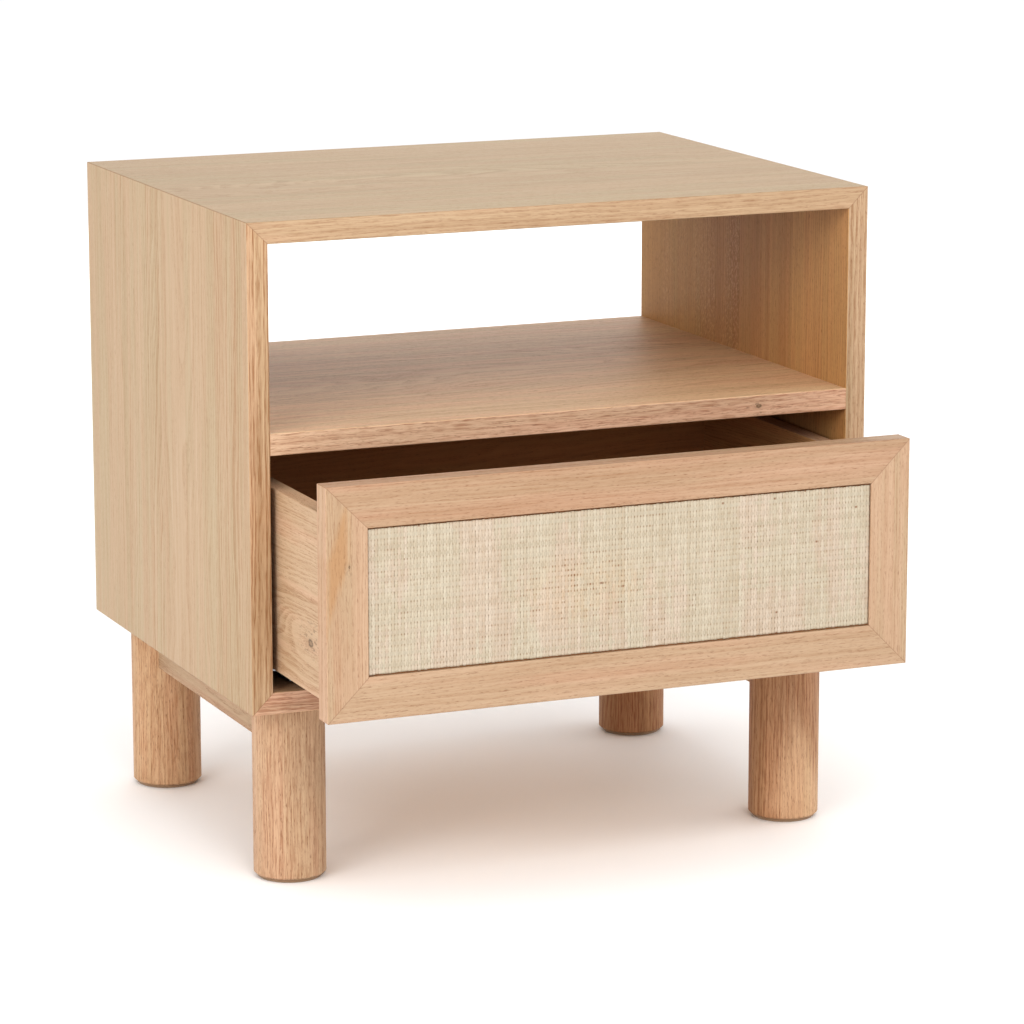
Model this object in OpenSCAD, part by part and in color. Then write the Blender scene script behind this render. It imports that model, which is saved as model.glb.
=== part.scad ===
// Bedside cabinet: a mitred box on four round legs, with an open niche over one inset drawer.
// Origin: on the floor, under the middle of the box. +X right, +Y to the back, +Z up. Millimetres.
// The drawer is drawn pulled out by drawer_open.

/* [Cabinet] */
// Width of the box
cabinet_w = 550; // [480:10:700]
// Depth of the box
cabinet_d = 410; // [400:5:450]
// Height from the floor to the top face
cabinet_h = 550; // [540:10:650]
// Thickness of the box boards and of the shelf
board = 18; // [18:1:22]
// Height of the legs, floor glides included
leg_h = 150; // [120:5:160]
// Clear height of the drawer bay
bay_h = 194; // [190:1:220]
// Radius of the eased edges
arris = 1; // [0.5:0.1:1.5]

/* [Legs] */
// Diameter of a leg
leg_d = 60; // [50:1:70]
// Gap between a leg and the plane of the box's side and front
leg_inset = 18; // [10:1:30]
// Width of the rail that joins a front leg to the rear one
rail_w = 30; // [24:1:40]
// Height of that rail
rail_h = 40; // [36:1:50]

/* [Drawer] */
// How far the drawer is drawn pulled out
drawer_open = 118; // [0:1:240]
// Gap between the drawer front and each side panel
front_gap = 2; // [1:0.5:3]
// Gap above the drawer front
front_gap_above = 3.5; // [1:0.5:4]
// Gap below the drawer front
front_gap_below = 1.5; // [1:0.5:3]
// Thickness of the drawer front
front_t = 20; // [20:1:22]
// Width of the drawer front's frame members
frame_w = 35; // [34:1:45]
// Thickness of the drawer's sides, back and inner front
drawer_t = 15; // [14:1:16]
// Height of the drawer's sides
drawer_side_h = 150; // [130:1:150]
// Length of the drawer box behind its front
drawer_l = 345; // [340:1:350]

/* [Hidden] */

$fn = 64;
eps = 0.01;
oak = "burlywood";
pale_oak = "wheat";
beech = "navajowhite";
steel = "silver";
plastic = "dimgray";

half_w = cabinet_w / 2;
half_d = cabinet_d / 2;
inner = half_w - board;            // inside face of a side panel, from the middle
box_h = cabinet_h - leg_h;
floor_z = leg_h + board;           // top face of the bottom panel
shelf_z = floor_z + bay_h;         // underside of the shelf
glue_gap = 0.1;                    // all round a spline, dowel or tongue in its slot

// Back panel, in grooves
back_t = 6;
back_inset = 10;                   // from the rear edges to the panel
groove = 6;                        // depth of the grooves

// Splines in the mitres
case_spline = [12, cabinet_d - 20, 4];
case_spline_in = 8;                // from the inside corner
front_spline = [16, 4, 30];

// Dowels
dowel_r = 4;
dowel_l = 30;
shelf_dowel_y = [-150, 0, 150];
shelf_dowel_in = 12;               // length inside the side panel
rail_dowel_l = 40;
rail_dowel_z = [12, 28];           // above the rail's underside

// Legs
leg_r = leg_d / 2;
leg_x = half_w - leg_inset - leg_r;
leg_y = half_d - leg_inset - leg_r;
glide_t = 3;
glide_r = leg_r - 3;
peg_r = 4;
peg_l = 12;
leg_chamfer = 1.5;
insert_r = 6;
insert_l = 20;
bolt_r = 3.9;
bolt_l = 60;
bolt_head_r = 8;
bolt_head_h = 4.5;
rail_z = leg_h - rail_h;
rail_screw_y = [-80, 80];
rail_screw_sink = 20;              // from the rail's underside to the screw head's seat

// Drawer, closed
front_w = 2 * (inner - front_gap);
front_h = bay_h - front_gap_above - front_gap_below;
front_z = floor_z + front_gap_below + front_h / 2;
lip = 3;                           // wood in front of the backing board's groove
side_gap = 5;                      // between the drawer box and a side panel
side_z = floor_z + 16;             // underside of the drawer sides
side_x = inner - side_gap;         // outside face of a drawer side
box_y = -half_d + front_t;         // front end of the drawer box
box_end = box_y + drawer_l;
bottom_t = 6;
bottom_z = side_z + 13;            // underside of the drawer's bottom panel
back_z = bottom_z + bottom_t;
side_top = side_z + drawer_side_h;
drawer_dowel_z = [38, 78, 122];    // above the underside of the drawer sides
drawer_dowel_in = 10;              // length inside a drawer side
weave_t = 2;
weave_gap = [0.5, 1];              // at the sides, and at the top and bottom

// Undermount runners: u runs inwards from the side panel, z up from the bay's floor
sheet = 1.5;
runner_front = box_y + 2;
runner_end = 147;
slider_front = box_y + drawer_t + 2;
cabinet_profile = [[0, 1, sheet, 13], [0, 12.5, 27, sheet], [22, 2.5, sheet, 11],
    [22, 2.5, 25, sheet], [45.5, 2.5, sheet, 11], [42, 12.5, 5, sheet]];
slider_profile = [[24.5, 8, 6, sheet], [24.5, 8, sheet, 4], [29, 8, sheet, 21], [29, 27.5, 11, sheet],
    [38.5, 8, sheet, 21], [38.5, 8, 6, sheet], [43, 8, sheet, 4]];
hat_u = 34.5;                      // middle of the slider's raised part
ball_u = [27.5, 41.5];
ball_r = 1.8;
ball_z = floor_z + 6;
ball_pitch = 10;
balls_in_row = 8;
cage_u = [25, 44];
cage_t = 1.6;
cage_l = 86;
cage_closed_y = -61;               // front end of a cage with the drawer closed
stop_t = 1.2;
runner_screw_y = [-150, 0, 120];
runner_screw_z = floor_z + 7.5;
slider_screw_y = [-120, 100];

// Push latch, on the bay's floor under the drawer
latch_y = 80;
latch_size = [18, 60, 22];
latch_ear = [11, 20, 3];
plunger_z = floor_z + 12;
plunger_r = 3.5;
plunger_out = 7.7;
plunger_l = 26;
collar_r = 5.2;
collar_l = 4;
chamber_r = 5.5;
nose_l = 6;                        // wall in front of the spring's chamber
cap_l = 6;
spring_r = 4;
spring_wire = 0.5;
spring_turns = 9;
striker = [20, 12, bottom_z - floor_z - 4];
striker_y = latch_y - plunger_out - 0.3 - striker[1];
screw_r = 1.7;
head_r = 3.3;
head_h = 1.6;

// ---- Shared shapes ----

// A rectangle with rounded corners, centred
module soft_rect(w, h, r = arris) {
    square([w - 2 * r, h], center = true);
    square([w, h - 2 * r], center = true);
    for (x = [-1, 1], y = [-1, 1])
        translate([x * (w / 2 - r), y * (h / 2 - r)]) circle(r, $fn = 32);
}

// Extrudes a drawing in X and Z along Y, centred on y = 0
module along_y(length) rotate([90, 0, 0]) linear_extrude(length, center = true) children();

// The top member of a mitred ring that is w by h outside, centred
module ring_top(w, h, member, depth) {
    intersection() {
        along_y(depth) polygon([[-w / 2, h / 2], [w / 2, h / 2],
            [w / 2 - member, h / 2 - member], [member - w / 2, h / 2 - member]]);
        along_y(depth) soft_rect(w, h);
        translate([0, 0, h / 2 - member / 2]) rotate([90, 0, 90])
            linear_extrude(w, center = true) soft_rect(depth, member);
    }
}

// The right-hand member of the same ring
module ring_side(w, h, member, depth) rotate([0, 90, 0]) ring_top(h, w, member, depth);

// A spline in each corner of a ring, across the mitre
module ring_splines(w, h, from_inside, member, size, grow = 0) {
    at = member - from_inside;
    for (sx = [-1, 1], sz = [-1, 1])
        translate([sx * (w / 2 - at), 0, sz * (h / 2 - at)]) rotate([0, 45 * sx * sz, 0])
            cube(size + 2 * grow * [1, 1, 1], center = true);
}

// Puts its children against the right-hand (1) or left-hand (-1) side panel, with u as their X
module at_wall(side) translate([side * inner, 0, 0]) mirror([side > 0 ? 1 : 0, 0, 0]) children();

module right_or_left(side) mirror([side > 0 ? 0 : 1, 0, 0]) children();

module pulled_out() translate([0, -drawer_open, 0]) children();

// A strip of sheet metal folded to a profile of [u, z, width, height] boxes
module rolled(profile, y0, y1) {
    translate([0, (y0 + y1) / 2, floor_z]) along_y(y1 - y0)
        for (p = profile) translate([p[0], p[1]]) square([p[2], p[3]]);
}

// A screw that points up, with a cylindrical head below z = 0
module pan_screw(length, r = screw_r, hr = head_r, hh = head_h) {
    cylinder(h = length - r, r = r);
    translate([0, 0, length - r]) cylinder(h = r, r1 = r, r2 = 0.3);
    difference() {
        translate([0, 0, -hh]) cylinder(h = hh, r = hr);
        translate([0, 0, -hh - eps]) cylinder(h = hh / 2, r = hr * 0.4, $fn = 6);
    }
}

// ---- Box ----

module place_case() translate([0, 0, leg_h + box_h / 2]) children();

module case_spline_set(grow = 0) place_case()
    ring_splines(cabinet_w, box_h, case_spline_in, board, case_spline, grow);

module back_board(grow = 0) {
    reach = groove - 2 * glue_gap + grow;
    translate([-inner - reach, half_d - back_inset - back_t - grow, floor_z - reach])
        cube([2 * (inner + reach), back_t + 2 * grow, bay_h + 2 * reach]);
}

module shelf_dowel_set(grow = 0) {
    for (s = [-1, 1], y = shelf_dowel_y)
        translate([s * (inner + shelf_dowel_in - dowel_l / 2), y, shelf_z + board / 2])
            rotate([0, 90, 0]) cylinder(h = dowel_l + 2 * grow, r = dowel_r + grow / 2, center = true);
}

module at_legs() for (x = [-leg_x, leg_x], y = [-leg_y, leg_y]) translate([x, y, 0]) children();

module at_rail_screws() for (x = [-leg_x, leg_x], y = rail_screw_y) translate([x, y, 0]) children();

module top_panel() color(oak) difference() {
    place_case() ring_top(cabinet_w, box_h, board, cabinet_d);
    case_spline_set(glue_gap);
}

module side_panel(side) color(oak) difference() {
    place_case() right_or_left(side) ring_side(cabinet_w, box_h, board, cabinet_d);
    case_spline_set(glue_gap);
    back_board(glue_gap);
    shelf_dowel_set(glue_gap);
    at_wall(side) for (y = runner_screw_y) translate([-13, y, runner_screw_z])
        rotate([0, 90, 0]) cylinder(h = 14, r = screw_r + glue_gap / 2);
}

module left_side_panel() side_panel(-1);

module right_side_panel() side_panel(1);

module bottom_panel() color(oak) difference() {
    place_case() mirror([0, 0, 1]) ring_top(cabinet_w, box_h, board, cabinet_d);
    case_spline_set(glue_gap);
    back_board(glue_gap);
    at_legs() {
        translate([0, 0, leg_h - 1]) cylinder(h = board + 2, r = bolt_r + 0.4);
        translate([0, 0, floor_z - bolt_head_h - 0.2])
            cylinder(h = bolt_head_h + 0.2 + eps, r1 = bolt_r + 0.4, r2 = bolt_head_r + 0.4);
    }
    at_rail_screws() translate([0, 0, leg_h - 1]) cylinder(h = 13.5, r = 2 + glue_gap / 2);
    at_latch_screws() translate([0, 0, floor_z - 12]) cylinder(h = 13, r = screw_r + glue_gap / 2);
}

module shelf() color(oak) difference() {
    translate([0, 0, shelf_z + board / 2]) rotate([90, 0, 90])
        linear_extrude(2 * inner, center = true) soft_rect(cabinet_d, board);
    back_board(glue_gap);
    shelf_dowel_set(glue_gap);
}

module back_panel() color(pale_oak) back_board();

module carcass_splines() color(beech) case_spline_set();

module shelf_dowels() color(beech) shelf_dowel_set();

// ---- Legs ----

module rail_dowel_set(grow = 0) {
    for (x = [-leg_x, leg_x], s = [-1, 1], z = rail_dowel_z)
        translate([x, s * (leg_y - leg_r), rail_z + z])
            rotate([90, 0, 0]) cylinder(h = rail_dowel_l + 2 * grow, r = dowel_r + grow / 2, center = true);
}

module leg(sx, sy) color(oak) difference() {
    translate([sx * leg_x, sy * leg_y, glide_t]) union() {
        cylinder(h = leg_chamfer, r1 = leg_r - leg_chamfer, r2 = leg_r, $fn = 96);
        translate([0, 0, leg_chamfer]) cylinder(h = leg_h - glide_t - leg_chamfer, r = leg_r, $fn = 96);
    }
    rail_dowel_set(glue_gap);
    translate([sx * leg_x, sy * leg_y, 0]) {
        translate([0, 0, -1]) cylinder(h = glide_t + peg_l + 2, r = peg_r + glue_gap);
        translate([0, 0, leg_h - insert_l]) cylinder(h = insert_l + 1, r = insert_r + glue_gap);
        translate([0, 0, floor_z - bolt_l - 3]) cylinder(h = bolt_l, r = bolt_r + 0.4);
    }
}

module front_left_leg() leg(-1, -1);

module front_right_leg() leg(1, -1);

module rear_left_leg() leg(-1, 1);

module rear_right_leg() leg(1, 1);

module leg_rail(side) color(oak) difference() {
    translate([side * leg_x, 0, rail_z + rail_h / 2]) along_y(2 * leg_y) soft_rect(rail_w, rail_h);
    for (s = [-1, 1]) translate([side * leg_x, s * leg_y, 0]) cylinder(h = leg_h + 1, r = leg_r, $fn = 96);
    rail_dowel_set(glue_gap);
    at_rail_screws() {
        translate([0, 0, rail_z - 1]) cylinder(h = rail_screw_sink + 1, r = 5);
        translate([0, 0, rail_z]) cylinder(h = rail_h + 1, r = 2.3);
    }
}

module left_leg_rail() leg_rail(-1);

module right_leg_rail() leg_rail(1);

module leg_rail_dowels() color(beech) rail_dowel_set();

module leg_inserts() color("gold") at_legs() translate([0, 0, leg_h - insert_l]) difference() {
    cylinder(h = insert_l - 0.1, r = insert_r);
    translate([0, 0, -1]) cylinder(h = insert_l + 2, r = bolt_r + 0.1);
}

module leg_bolts() color(steel) at_legs() translate([0, 0, floor_z - 0.2]) difference() {
    union() {
        translate([0, 0, -bolt_head_h]) cylinder(h = bolt_head_h, r1 = bolt_r, r2 = bolt_head_r);
        translate([0, 0, -bolt_l]) cylinder(h = bolt_l - bolt_head_h + eps, r = bolt_r);
    }
    translate([0, 0, -3]) cylinder(h = 4, r = 2.9, $fn = 6);
}

module rail_screws() color(steel) at_rail_screws()
    translate([0, 0, rail_z + rail_screw_sink]) pan_screw(32, 2, 4.5, 3);

module floor_glides() color(plastic) at_legs() {
    cylinder(h = 1, r1 = glide_r - 1, r2 = glide_r);
    translate([0, 0, 1]) cylinder(h = glide_t - 1, r = glide_r);
    translate([0, 0, glide_t - eps]) cylinder(h = peg_l, r = peg_r);
}

// ---- Drawer front ----

module place_front() translate([0, -half_d + front_t / 2, front_z]) children();

module front_spline_set(grow = 0) place_front() translate([0, 4.5, 0])
    ring_splines(front_w, front_h, frame_w / 2, frame_w, front_spline, grow);

// The board behind the weave, in a groove in the frame's inside edges
module weave_board(grow = 0) {
    reach = groove - 2 * glue_gap + grow;
    translate([0, -half_d + lip + back_t / 2, front_z])
        cube([front_w - 2 * frame_w + 2 * reach, back_t + 2 * grow, front_h - 2 * frame_w + 2 * reach],
            center = true);
}

// The screws through the inner front into the frame: two in the bottom rail and one in each stile
module at_front_screws() {
    for (s = [-1, 1]) {
        translate([s * 150, box_y + drawer_t, side_z + 6]) rotate([90, 0, 0]) children();
        translate([s * (front_w / 2 - 27), box_y + drawer_t, side_z + 100]) rotate([90, 0, 0]) children();
    }
}

module front_member() color(oak) pulled_out() difference() {
    place_front() children();
    front_spline_set(glue_gap);
    weave_board(glue_gap);
    at_front_screws() cylinder(h = drawer_t + 9.5, r = 2 + glue_gap / 2);
}

module front_top_rail() front_member() ring_top(front_w, front_h, frame_w, front_t);

module front_bottom_rail() front_member() mirror([0, 0, 1]) ring_top(front_w, front_h, frame_w, front_t);

module front_left_stile() front_member() mirror([1, 0, 0]) ring_side(front_w, front_h, frame_w, front_t);

module front_right_stile() front_member() ring_side(front_w, front_h, frame_w, front_t);

module front_splines() color(beech) pulled_out() front_spline_set();

module rattan_backing_board() color(pale_oak) pulled_out() weave_board();

module rattan_panel() color("cornsilk") pulled_out()
    translate([0, -half_d + lip - weave_t / 2, front_z])
        cube([front_w - 2 * (frame_w + weave_gap[0]), weave_t, front_h - 2 * (frame_w + weave_gap[1])],
            center = true);

module front_fixing_screws() color(steel) pulled_out() at_front_screws()
    translate([0, 0, head_h]) pan_screw(drawer_t + 9 - head_h, 2, 4, head_h - eps);

// ---- Drawer box ----

module bottom_board(grow = 0) {
    reach = groove - 2 * glue_gap + grow;
    translate([-side_x + drawer_t - reach, box_y + drawer_t - reach, bottom_z - grow])
        cube([2 * (side_x - drawer_t + reach), drawer_l - drawer_t + reach + 2 * grow, bottom_t + 2 * grow]);
}

module drawer_dowel_set(grow = 0) {
    for (s = [-1, 1], y = [box_y + drawer_t / 2, box_end - drawer_t / 2], z = drawer_dowel_z)
        translate([s * (side_x - drawer_t + drawer_dowel_in - dowel_l / 2), y, side_z + z])
            rotate([0, 90, 0]) cylinder(h = dowel_l + 2 * grow, r = dowel_r + grow / 2, center = true);
}

module at_bottom_screws() for (x = [-150, 0, 150])
    translate([x, box_end - drawer_t / 2, bottom_z]) children();

module drawer_side(side) color(pale_oak) pulled_out() difference() {
    translate([side * (side_x - drawer_t / 2), box_y + drawer_l / 2, side_z + drawer_side_h / 2])
        along_y(drawer_l) soft_rect(drawer_t, drawer_side_h);
    bottom_board(glue_gap);
    drawer_dowel_set(glue_gap);
}

module drawer_left_side() drawer_side(-1);

module drawer_right_side() drawer_side(1);

// A cross piece between the drawer sides, with its front face at y
module cross_piece(y, z) translate([0, y + drawer_t / 2, (z + side_top) / 2]) rotate([90, 0, 90])
    linear_extrude(2 * (side_x - drawer_t), center = true) soft_rect(drawer_t, side_top - z);

module drawer_inner_front() color(pale_oak) pulled_out() difference() {
    cross_piece(box_y, side_z);
    bottom_board(glue_gap);
    drawer_dowel_set(glue_gap);
    at_front_screws() {
        translate([0, 0, -eps]) cylinder(h = drawer_t + 1, r = 2.2);
        translate([0, 0, -1]) cylinder(h = head_h + 1, r = 4.3);
    }
}

module drawer_back() color(pale_oak) pulled_out() difference() {
    cross_piece(box_end - drawer_t, back_z);
    drawer_dowel_set(glue_gap);
    at_bottom_screws() cylinder(h = 24.5, r = screw_r + glue_gap / 2);
}

module drawer_bottom() color(pale_oak) pulled_out() difference() {
    bottom_board();
    at_bottom_screws() translate([0, 0, -1]) cylinder(h = bottom_t + 2, r = screw_r + 0.2);
    at_slider_screws() cylinder(h = 5.2, r = screw_r);
    at_striker_screws() cylinder(h = 4.2, r = screw_r + glue_gap / 2);
}

module drawer_dowels() color(beech) pulled_out() drawer_dowel_set();

module drawer_bottom_screws() color(steel) pulled_out() at_bottom_screws() pan_screw(24);

// ---- Runners ----

module at_slider_screws() for (s = [-1, 1], y = slider_screw_y)
    translate([s * (inner - hat_u), y, bottom_z]) children();

module cabinet_runner(side) color(steel) at_wall(side) difference() {
    union() {
        rolled(cabinet_profile, runner_front, runner_end);
        translate([22, runner_front, floor_z + 2.5]) cube([25, stop_t, 5]);
    }
    for (y = runner_screw_y) translate([-1, y, runner_screw_z])
        rotate([0, 90, 0]) cylinder(h = sheet + 2, r = screw_r + 0.2);
}

module left_cabinet_runner() cabinet_runner(-1);

module right_cabinet_runner() cabinet_runner(1);

module runner_screws() color(steel) for (s = [-1, 1]) at_wall(s)
    for (y = runner_screw_y) translate([sheet, y, runner_screw_z]) rotate([0, -90, 0]) pan_screw(14);

module drawer_runner(side) color(steel) pulled_out() difference() {
    at_wall(side) rolled(slider_profile, slider_front, runner_end);
    at_slider_screws() translate([0, 0, -3]) cylinder(h = 4, r = screw_r + 0.2);
}

module left_drawer_runner() drawer_runner(-1);

module right_drawer_runner() drawer_runner(1);

module drawer_runner_screws() color(steel) pulled_out() at_slider_screws()
    translate([0, 0, -sheet]) pan_screw(6.4, 1.6, 3.5, 1.5);

module runner_clips() color(plastic) pulled_out() for (s = [-1, 1]) at_wall(s) {
    translate([42, slider_front - 1.8, side_z + 1]) cube([20, 40, bottom_z - side_z - 1.2]);
    translate([40, slider_front + 3, side_z + 4]) cube([2 + eps, 15, 6]);
}

module ball_rows(r) for (u = ball_u, i = [0 : balls_in_row - 1])
    translate([u, cage_closed_y - drawer_open / 2 + cage_l / 2 + (i - (balls_in_row - 1) / 2) * ball_pitch,
        ball_z]) children();

module ball_cage(side) color("ivory") at_wall(side) difference() {
    translate([cage_u[0], cage_closed_y - drawer_open / 2, ball_z - cage_t / 2])
        cube([cage_u[1] - cage_u[0], cage_l, cage_t]);
    ball_rows() cylinder(h = cage_t + 2, r = ball_r + 0.2, center = true, $fn = 24);
}

module runner_balls(side) color(steel) at_wall(side) ball_rows() sphere(ball_r, $fn = 24);

module left_ball_cage() ball_cage(-1);

module right_ball_cage() ball_cage(1);

module left_runner_balls() runner_balls(-1);

module right_runner_balls() runner_balls(1);

// ---- Push latch ----

// Puts its children at the housing's front face, on the plunger's axis, with Z towards the back
module at_latch_axis() translate([0, latch_y, plunger_z]) rotate([-90, 0, 0]) children();

module at_latch_screws() for (s = [-1, 1])
    translate([s * (latch_size[0] + latch_ear[0]) / 2, latch_y + latch_size[1] / 2, 0]) children();

module at_striker_screws() for (s = [-1, 1])
    translate([s * 5, striker_y + striker[1] / 2, bottom_z]) children();

module latch_housing() color(plastic) difference() {
    union() {
        translate([0, latch_y + latch_size[1] / 2, floor_z + latch_size[2] / 2])
            along_y(latch_size[1]) soft_rect(latch_size[0], latch_size[2], 2);
        translate([0, latch_y + latch_size[1] / 2, floor_z + latch_ear[2] / 2])
            cube([latch_size[0] + 2 * latch_ear[0], latch_ear[1], latch_ear[2]], center = true);
    }
    at_latch_axis() {
        translate([0, 0, -1]) cylinder(h = nose_l + 2, r = plunger_r + 0.3);
        translate([0, 0, nose_l]) cylinder(h = latch_size[1], r = chamber_r);
    }
    at_latch_screws() translate([0, 0, floor_z - 1]) cylinder(h = latch_ear[2] + 2, r = screw_r + 0.2);
}

module latch_cap() color("black") at_latch_axis() translate([0, 0, latch_size[1] - cap_l])
    cylinder(h = cap_l, r = chamber_r - 0.05);

module latch_plunger() color("white") at_latch_axis() {
    translate([0, 0, -plunger_out]) cylinder(h = 1, r1 = plunger_r - 1, r2 = plunger_r);
    translate([0, 0, 1 - plunger_out]) cylinder(h = plunger_l - 1, r = plunger_r);
    translate([0, 0, nose_l + 0.3]) cylinder(h = collar_l, r = collar_r);
}

// A coil spring from the plunger's collar to the cap
module latch_spring() {
    start = nose_l + 0.3 + collar_l + spring_wire + 0.2;
    rise = latch_size[1] - cap_l - spring_wire - 0.2 - start;
    steps = 14;
    sides = 6;
    rings = spring_turns * steps;
    function wire_point(i, j) = let (a = 360 * i / steps, b = 360 * j / sides,
        r = spring_r + 0.4 + spring_wire * cos(b))
        [r * cos(a), r * sin(a), start + rise * i / rings + spring_wire * sin(b)];
    points = [for (i = [0 : rings], j = [0 : sides - 1]) wire_point(i, j)];
    walls = [for (i = [0 : rings - 1], j = [0 : sides - 1]) let (k = (j + 1) % sides)
        [i * sides + j, i * sides + k, (i + 1) * sides + k, (i + 1) * sides + j]];
    ends = [[for (j = [sides - 1 : -1 : 0]) j], [for (j = [0 : sides - 1]) rings * sides + j]];
    color(steel) at_latch_axis() polyhedron(points, concat(walls, ends));
}

module latch_screws() color(steel) at_latch_screws() translate([0, 0, floor_z + latch_ear[2]])
    mirror([0, 0, 1]) pan_screw(latch_ear[2] + 10);

module latch_striker() color(plastic) pulled_out() difference() {
    translate([0, striker_y + striker[1] / 2, bottom_z - striker[2] / 2]) cube(striker, center = true);
    at_striker_screws() {
        translate([0, 0, -striker[2] - 1]) cylinder(h = striker[2] + 2, r = screw_r + 0.2);
        translate([0, 0, -striker[2] - 1]) cylinder(h = head_h + 1, r = head_r + 0.2);
    }
}

module striker_screws() color(steel) pulled_out() at_striker_screws()
    translate([0, 0, head_h - striker[2]]) pan_screw(striker[2] - head_h + 4);

top_panel();
left_side_panel();
right_side_panel();
bottom_panel();
shelf();
back_panel();
carcass_splines();
shelf_dowels();
front_left_leg();
front_right_leg();
rear_left_leg();
rear_right_leg();
left_leg_rail();
right_leg_rail();
leg_rail_dowels();
leg_inserts();
leg_bolts();
rail_screws();
floor_glides();
left_cabinet_runner();
right_cabinet_runner();
runner_screws();
latch_housing();
latch_cap();
latch_spring();
latch_screws();
latch_plunger();
drawer_left_side();
drawer_right_side();
drawer_inner_front();
drawer_back();
drawer_bottom();
drawer_dowels();
drawer_bottom_screws();
front_top_rail();
front_bottom_rail();
front_left_stile();
front_right_stile();
front_splines();
rattan_backing_board();
rattan_panel();
front_fixing_screws();
left_drawer_runner();
right_drawer_runner();
drawer_runner_screws();
runner_clips();
latch_striker();
striker_screws();
left_ball_cage();
left_runner_balls();
right_ball_cage();
right_runner_balls();
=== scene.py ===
"""Looks of the nightstand: oak, woven rattan, fittings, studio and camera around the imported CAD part.

Everything is in metres, in the part's own frame: +X right, +Y back, +Z up, and the origin on the floor
under the middle of the box. Wood, cane and metal patterns are given in millimetres.
"""
import math
import random

import bpy
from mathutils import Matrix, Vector


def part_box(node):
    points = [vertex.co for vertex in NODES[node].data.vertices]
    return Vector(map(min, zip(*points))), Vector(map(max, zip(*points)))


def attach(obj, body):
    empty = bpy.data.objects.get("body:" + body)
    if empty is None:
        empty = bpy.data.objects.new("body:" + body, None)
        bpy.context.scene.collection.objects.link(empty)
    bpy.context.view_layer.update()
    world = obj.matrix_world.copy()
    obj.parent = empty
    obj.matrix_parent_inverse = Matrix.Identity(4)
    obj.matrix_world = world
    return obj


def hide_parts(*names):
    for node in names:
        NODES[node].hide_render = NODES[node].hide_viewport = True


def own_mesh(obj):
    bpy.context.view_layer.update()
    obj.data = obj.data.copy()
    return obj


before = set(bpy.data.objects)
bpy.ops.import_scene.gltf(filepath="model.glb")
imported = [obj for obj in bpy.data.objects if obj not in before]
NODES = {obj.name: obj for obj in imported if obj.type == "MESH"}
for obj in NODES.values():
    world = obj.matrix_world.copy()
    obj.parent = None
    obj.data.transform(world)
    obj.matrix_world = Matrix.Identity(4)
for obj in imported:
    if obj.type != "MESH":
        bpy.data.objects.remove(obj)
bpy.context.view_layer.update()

MM = 0.001


# ---------------------------------------------------------------- colour and node helpers


def rgb(red, green, blue):
    """A colour as the eye names it, 0 to 255, turned into the linear light that shaders use."""
    def linear(level):
        share = level / 255
        return share / 12.92 if share <= 0.04045 else ((share + 0.055) / 1.055) ** 2.4
    return (linear(red), linear(green), linear(blue), 1.0)


def darkened(colour, times):
    """The same colour with less light in it."""
    return tuple(times * level for level in colour[:3]) + (1.0,)


class Graph:
    """Short calls that add nodes to one shader tree and join them."""

    def __init__(self, tree):
        self.tree = tree

    def node(self, kind, inputs=None, **settings):
        made = self.tree.nodes.new("ShaderNode" + kind)
        for name, value in settings.items():
            setattr(made, name, value)
        for socket, value in (inputs or {}).items():
            self.feed(made.inputs[socket], value)
        return made

    def feed(self, socket, value):
        if isinstance(value, bpy.types.NodeSocket):
            self.tree.links.new(value, socket)
        else:
            socket.default_value = value

    def math(self, operation, first, second=0.0, clamp=False):
        return self.node("Math", {0: first, 1: second}, operation=operation, use_clamp=clamp).outputs[0]

    def add(self, *terms):
        total = terms[0]
        for term in terms[1:]:
            total = self.math("ADD", total, term)
        return total

    def times(self, *terms):
        total = terms[0]
        for term in terms[1:]:
            total = self.math("MULTIPLY", total, term)
        return total

    def centre(self, noise):
        """Noise of 0 to 1 made to swing about 0."""
        return self.math("SUBTRACT", noise, 0.5)

    def vector(self, operation, first, second):
        return self.node("VectorMath", {0: first, 1: second}, operation=operation).outputs[0]

    def length(self, vector):
        return self.node("VectorMath", {0: vector}, operation="LENGTH").outputs["Value"]

    def split(self, vector):
        return self.node("SeparateXYZ", {0: vector}).outputs[:3]

    def join(self, x, y, z):
        return self.node("CombineXYZ", {0: x, 1: y, 2: z}).outputs[0]

    def ramp(self, value, low, high, to_low=0.0, to_high=1.0):
        """value, eased from to_low at low to to_high at high."""
        sockets = {0: value, 1: low, 2: high, 3: to_low, 4: to_high}
        return self.node("MapRange", sockets, interpolation_type="SMOOTHSTEP").outputs[0]

    def mix(self, share, first, second):
        return self.node("Mix", {0: share, 6: first, 7: second}, data_type="RGBA").outputs[2]

    def tint(self, share, colour, by):
        sockets = {0: share, 6: colour, 7: by}
        return self.node("Mix", sockets, data_type="RGBA", blend_type="MULTIPLY").outputs[2]

    def noise(self, vector, size, detail=2.0, roughness=0.5, shift=0.0):
        """Cloud noise about 0.5 whose blobs are size = (x, y, z) long. shift picks another piece of it."""
        scaled = self.vector("DIVIDE", vector, size)
        along = shift if isinstance(shift, bpy.types.NodeSocket) else (shift, shift, shift)
        sockets = {0: (1.0, 1.7, -0.6), 1: along, 2: scaled}
        moved = self.node("VectorMath", sockets, operation="MULTIPLY_ADD").outputs[0]
        sockets = {"Vector": moved, "Scale": 1.0, "Detail": detail, "Roughness": roughness}
        return self.node("TexNoise", sockets).outputs[0]

    def dice(self, first, second=0.0):
        """Three random numbers from 0 to 1 for each pair of whole numbers."""
        spot = self.join(first, second, 0.0)
        return self.split(self.node("TexWhiteNoise", {"Vector": spot}).outputs[1])


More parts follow.
